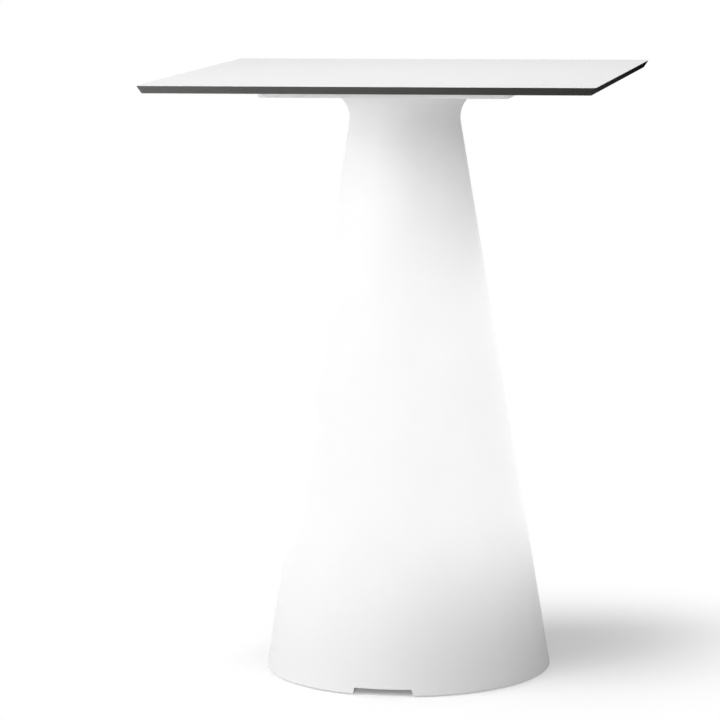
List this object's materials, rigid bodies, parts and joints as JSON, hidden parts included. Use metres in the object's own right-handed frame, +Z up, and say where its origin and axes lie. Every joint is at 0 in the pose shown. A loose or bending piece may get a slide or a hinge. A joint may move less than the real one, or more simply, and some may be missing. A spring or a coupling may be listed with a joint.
{
  "type": "light up led table",
  "caption": "Square bar-height table: thin laminate top with a dark undercut edge on a hollow white conical base that is lit from inside by an LED column.",
  "frame": {"origin": "centre of the footprint, on the floor", "axes": "+Z up, -Y the front, where the cable notch is in the rim"},
  "size_m": [0.8, 0.8, 1.1],
  "materials": {
    "white_laminate": "satin",
    "dark_core": "satin",
    "white_polyethylene": "fine grained, translucent",
    "coated_steel": "powder coated",
    "zinc_steel": "zinc plated",
    "nickel_nut": "nickel plated",
    "aluminium": "extruded",
    "black_rubber": "matt",
    "grey_moulding": "fine grained",
    "black_nylon": "satin",
    "button_grey": "satin",
    "lid_grey": "matt",
    "indicator_lens": "clear, green",
    "green_board": "solder resist",
    "white_board": "white solder resist",
    "pack_wrap": "shrink film",
    "lead_jacket": "satin",
    "opal_acrylic": "opal"
  },
  "bodies": {
    "table": {"tabletop_face": "white_laminate", "tabletop_core": "dark_core", "tabletop_backer": "white_laminate", "top_screw_front_left": "zinc_steel", "top_screw_front_right": "zinc_steel", "top_screw_back_right": "zinc_steel", "top_screw_back_left": "zinc_steel", "base_shell": "white_polyethylene", "ballast_disc": "coated_steel", "ballast_screw_right": "zinc_steel", "ballast_screw_back": "zinc_steel", "ballast_screw_left": "zinc_steel", "ballast_screw_front": "zinc_steel", "foot_bush_front_left": "zinc_steel", "foot_bush_front_right": "zinc_steel", "foot_bush_back_right": "zinc_steel", "foot_bush_back_left": "zinc_steel", "light_housing": "grey_moulding", "housing_gasket": "black_rubber", "housing_screw_back": "zinc_steel", "housing_screw_front_left": "zinc_steel", "housing_screw_front_right": "zinc_steel", "service_cover": "grey_moulding", "cover_screw_back": "zinc_steel", "cover_screw_front_left": "zinc_steel", "cover_screw_front_right": "zinc_steel", "control_board": "green_board", "indicator_lens": "indicator_lens", "charge_inlet": "black_nylon", "inlet_nut": "nickel_nut", "lid_pin": "zinc_steel", "charge_lead": "lead_jacket", "battery_pack": "pack_wrap", "battery_strap": "zinc_steel", "strap_screw_left": "zinc_steel", "strap_screw_right": "zinc_steel", "battery_lead": "lead_jacket", "led_post": "aluminium", "post_screw_left": "zinc_steel", "post_screw_right": "zinc_steel", "led_board_right": "white_board", "led_board_back": "white_board", "led_board_left": "white_board", "led_board_front": "white_board", "link_board": "green_board", "led_lead": "lead_jacket", "lead_grommet": "black_rubber", "diffuser_tube": "opal_acrylic", "tube_seal": "black_rubber", "diffuser_cap": "grey_moulding"},
    "pad_front_left": {"foot_pad_front_left": "black_rubber"},
    "pad_front_right": {"foot_pad_front_right": "black_rubber"},
    "pad_back_right": {"foot_pad_back_right": "black_rubber"},
    "pad_back_left": {"foot_pad_back_left": "black_rubber"},
    "stud_front_left": {"foot_stud_front_left": "zinc_steel"},
    "stud_front_right": {"foot_stud_front_right": "zinc_steel"},
    "stud_back_right": {"foot_stud_back_right": "zinc_steel"},
    "stud_back_left": {"foot_stud_back_left": "zinc_steel"},
    "button": {"power_button": "button_grey"},
    "lid": {"inlet_lid": "lid_grey"}
  },
  "joints": [
    {"name": "foot_slide_front_left", "type": "slide", "parent": "table", "child": "pad_front_left", "axis": [0, 0, -1], "range_m": [0, 0.012]},
    {"name": "foot_slide_front_right", "type": "slide", "parent": "table", "child": "pad_front_right", "axis": [0, 0, -1], "range_m": [0, 0.012]},
    {"name": "foot_slide_back_right", "type": "slide", "parent": "table", "child": "pad_back_right", "axis": [0, 0, -1], "range_m": [0, 0.012]},
    {"name": "foot_slide_back_left", "type": "slide", "parent": "table", "child": "pad_back_left", "axis": [0, 0, -1], "range_m": [0, 0.012]},
    {"name": "foot_turn_front_left", "type": "hinge", "parent": "pad_front_left", "child": "stud_front_left", "pos_m": [-0.15132, -0.15132, 0.02], "axis": [0, 0, -1], "range_deg": [0, 2880]},
    {"name": "foot_turn_front_right", "type": "hinge", "parent": "pad_front_right", "child": "stud_front_right", "pos_m": [0.15132, -0.15132, 0.02], "axis": [0, 0, -1], "range_deg": [0, 2880]},
    {"name": "foot_turn_back_right", "type": "hinge", "parent": "pad_back_right", "child": "stud_back_right", "pos_m": [0.15132, 0.15132, 0.02], "axis": [0, 0, -1], "range_deg": [0, 2880]},
    {"name": "foot_turn_back_left", "type": "hinge", "parent": "pad_back_left", "child": "stud_back_left", "pos_m": [-0.15132, 0.15132, 0.02], "axis": [0, 0, -1], "range_deg": [0, 2880]},
    {"name": "button_press", "type": "slide", "parent": "table", "child": "button", "axis": [0, 0, 1], "range_m": [0, 0.0015], "stiffness_N_per_m": 300, "springref_m": -0.002},
    {"name": "lid_hinge", "type": "hinge", "parent": "table", "child": "lid", "pos_m": [0.0125, -0.0783, 0.02285], "axis": [0, 0, 1], "range_deg": [0, 110]}
  ],
  "couplings": [
    {"joint": "foot_turn_front_left", "follows": "foot_slide_front_left", "rad_per_m": 4188.8},
    {"joint": "foot_turn_front_right", "follows": "foot_slide_front_right", "rad_per_m": 4188.8},
    {"joint": "foot_turn_back_right", "follows": "foot_slide_back_right", "rad_per_m": 4188.8},
    {"joint": "foot_turn_back_left", "follows": "foot_slide_back_left", "rad_per_m": 4188.8}
  ]
}
